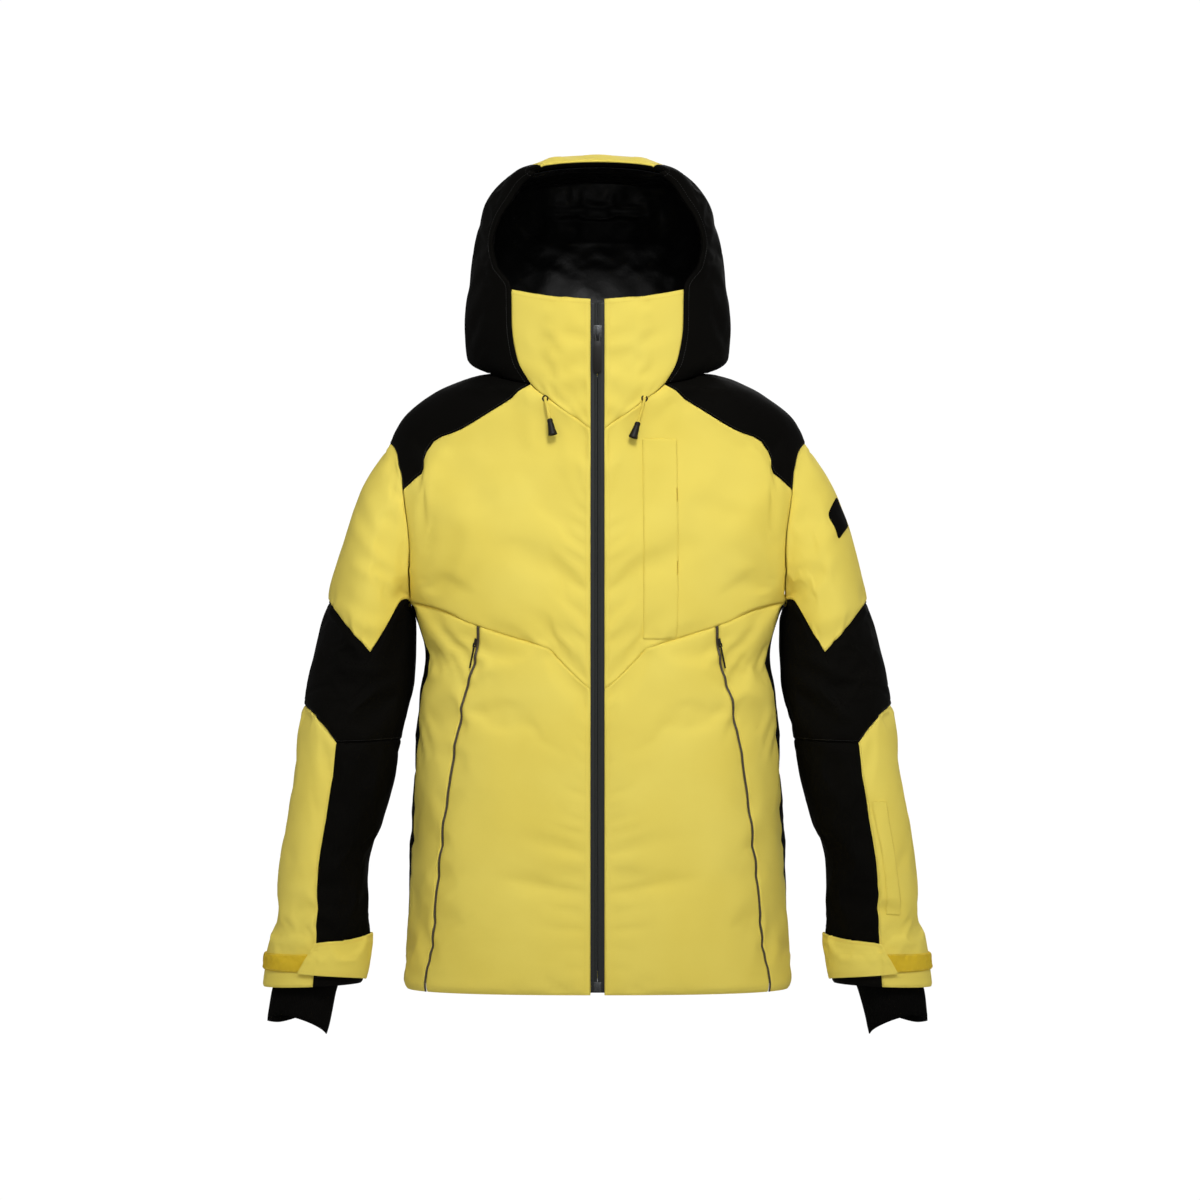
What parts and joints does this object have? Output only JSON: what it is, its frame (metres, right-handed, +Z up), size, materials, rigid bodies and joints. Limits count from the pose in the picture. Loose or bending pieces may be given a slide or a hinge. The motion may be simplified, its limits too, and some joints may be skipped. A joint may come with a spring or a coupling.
{
  "type": "ski jacket",
  "caption": "Padded hooded ski jacket in two fabrics with a full front zip, closing cuff flaps, wrist gaiters, drawcords and zipped hand pockets.",
  "frame": {"origin": "centre of the neck seat, where the collar seam crosses the wearer's neck", "axes": "+Z up along the wearer's spine, +X towards the wearer's left arm, -Y towards the front"},
  "size_m": [0.8052, 0.283, 1.0538],
  "materials": {
    "shell_yellow": "matte stretch weave",
    "shell_black": "matte stretch weave",
    "lining_gloss": "glossy taffeta",
    "knit_black": "matte rib knit",
    "loop_tape": "napped loop tape",
    "zip_tape": "satin film over a reversed coil",
    "piping_reflective": "dark with light reflective dashes",
    "zip_metal": "satin",
    "soft_black": "satin moulded",
    "cord_yellow": "fine braid"
  },
  "bodies": {
    "jacket": {"front_lower_left": "shell_yellow", "front_lower_right": "shell_yellow", "front_side_left": "shell_yellow", "front_side_right": "shell_yellow", "chest_left": "shell_yellow", "chest_right": "shell_yellow", "upper_sleeve_left": "shell_yellow", "upper_sleeve_right": "shell_yellow", "forearm_left": "shell_yellow", "forearm_right": "shell_yellow", "collar_left": "shell_yellow", "collar_right": "shell_yellow", "back_panel": "shell_yellow", "hood_center": "shell_yellow", "chest_pocket_placket": "shell_yellow", "sleeve_pocket_welt": "shell_yellow", "shoulder_yoke_left": "shell_black", "shoulder_yoke_right": "shell_black", "side_panel_left": "shell_black", "side_panel_right": "shell_black", "elbow_panel_left": "shell_black", "elbow_panel_right": "shell_black", "forearm_under_left": "shell_black", "forearm_under_right": "shell_black", "hood_side_left": "shell_black", "hood_side_right": "shell_black", "back_yoke": "shell_black", "hood_facing": "shell_black", "sleeve_patch": "shell_black", "front_lining_left": "lining_gloss", "front_lining_right": "lining_gloss", "sleeve_lining_left": "lining_gloss", "sleeve_lining_right": "lining_gloss", "back_lining": "lining_gloss", "hood_lining": "lining_gloss", "powder_skirt": "lining_gloss", "wrist_gaiter_left": "knit_black", "wrist_gaiter_right": "knit_black", "cuff_loop_strip_left": "loop_tape", "cuff_loop_strip_right": "loop_tape", "zip_tape_left": "zip_tape", "zip_tape_right": "zip_tape", "hand_pocket_zip_left": "piping_reflective", "hand_pocket_zip_right": "piping_reflective", "zip_retainer_box": "zip_metal", "cord_end_left": "soft_black", "cord_end_right": "soft_black", "eyelet_left": "soft_black", "eyelet_right": "soft_black", "hanging_loop": "soft_black", "drawcord_left": "cord_yellow", "drawcord_right": "cord_yellow"},
    "main_slider": {"main_slider": "zip_metal"},
    "main_pull": {"main_pull": "soft_black"},
    "pocket_slider_left": {"hand_pocket_slider_left": "soft_black"},
    "pocket_pull_left": {"hand_pocket_pull_left": "soft_black"},
    "cuff_flap_left": {"cuff_flap_left": "shell_yellow"},
    "pocket_slider_right": {"hand_pocket_slider_right": "soft_black"},
    "pocket_pull_right": {"hand_pocket_pull_right": "soft_black"},
    "cuff_flap_right": {"cuff_flap_right": "shell_yellow"}
  },
  "joints": [
    {"name": "main_zip_slide", "type": "slide", "parent": "jacket", "child": "main_slider", "axis": [0, 0.0449, 0.999], "range_m": [-0.755, 0.02]},
    {"name": "main_pull_swing", "type": "hinge", "parent": "main_slider", "child": "main_pull", "pos_m": [0, -0.10668, 0.059], "axis": [-1, 0, 0], "range_deg": [0, 165]},
    {"name": "pocket_zip_slide_left", "type": "slide", "parent": "jacket", "child": "pocket_slider_left", "axis": [0.2002, 0.0528, -0.9783], "range_m": [0, 0.16]},
    {"name": "pocket_pull_swing_left", "type": "hinge", "parent": "pocket_slider_left", "child": "pocket_pull_left", "pos_m": [0.14687, -0.10416, -0.31279], "axis": [-0.8452, -0.4957, -0.1997], "range_deg": [0, 150]},
    {"name": "cuff_flap_open_left", "type": "hinge", "parent": "jacket", "child": "cuff_flap_left", "pos_m": [0.27468, -0.03472, -0.6865], "axis": [0.0883, -0.0969, -0.9914], "range_deg": [0, 75]},
    {"name": "pocket_zip_slide_right", "type": "slide", "parent": "jacket", "child": "pocket_slider_right", "axis": [-0.2002, 0.0528, -0.9783], "range_m": [0, 0.16]},
    {"name": "pocket_pull_swing_right", "type": "hinge", "parent": "pocket_slider_right", "child": "pocket_pull_right", "pos_m": [-0.14687, -0.10416, -0.31279], "axis": [-0.8452, 0.4957, 0.1997], "range_deg": [0, 150]},
    {"name": "cuff_flap_open_right", "type": "hinge", "parent": "jacket", "child": "cuff_flap_right", "pos_m": [-0.27468, -0.03472, -0.6865], "axis": [0.0883, 0.0969, 0.9914], "range_deg": [0, 75]}
  ]
}
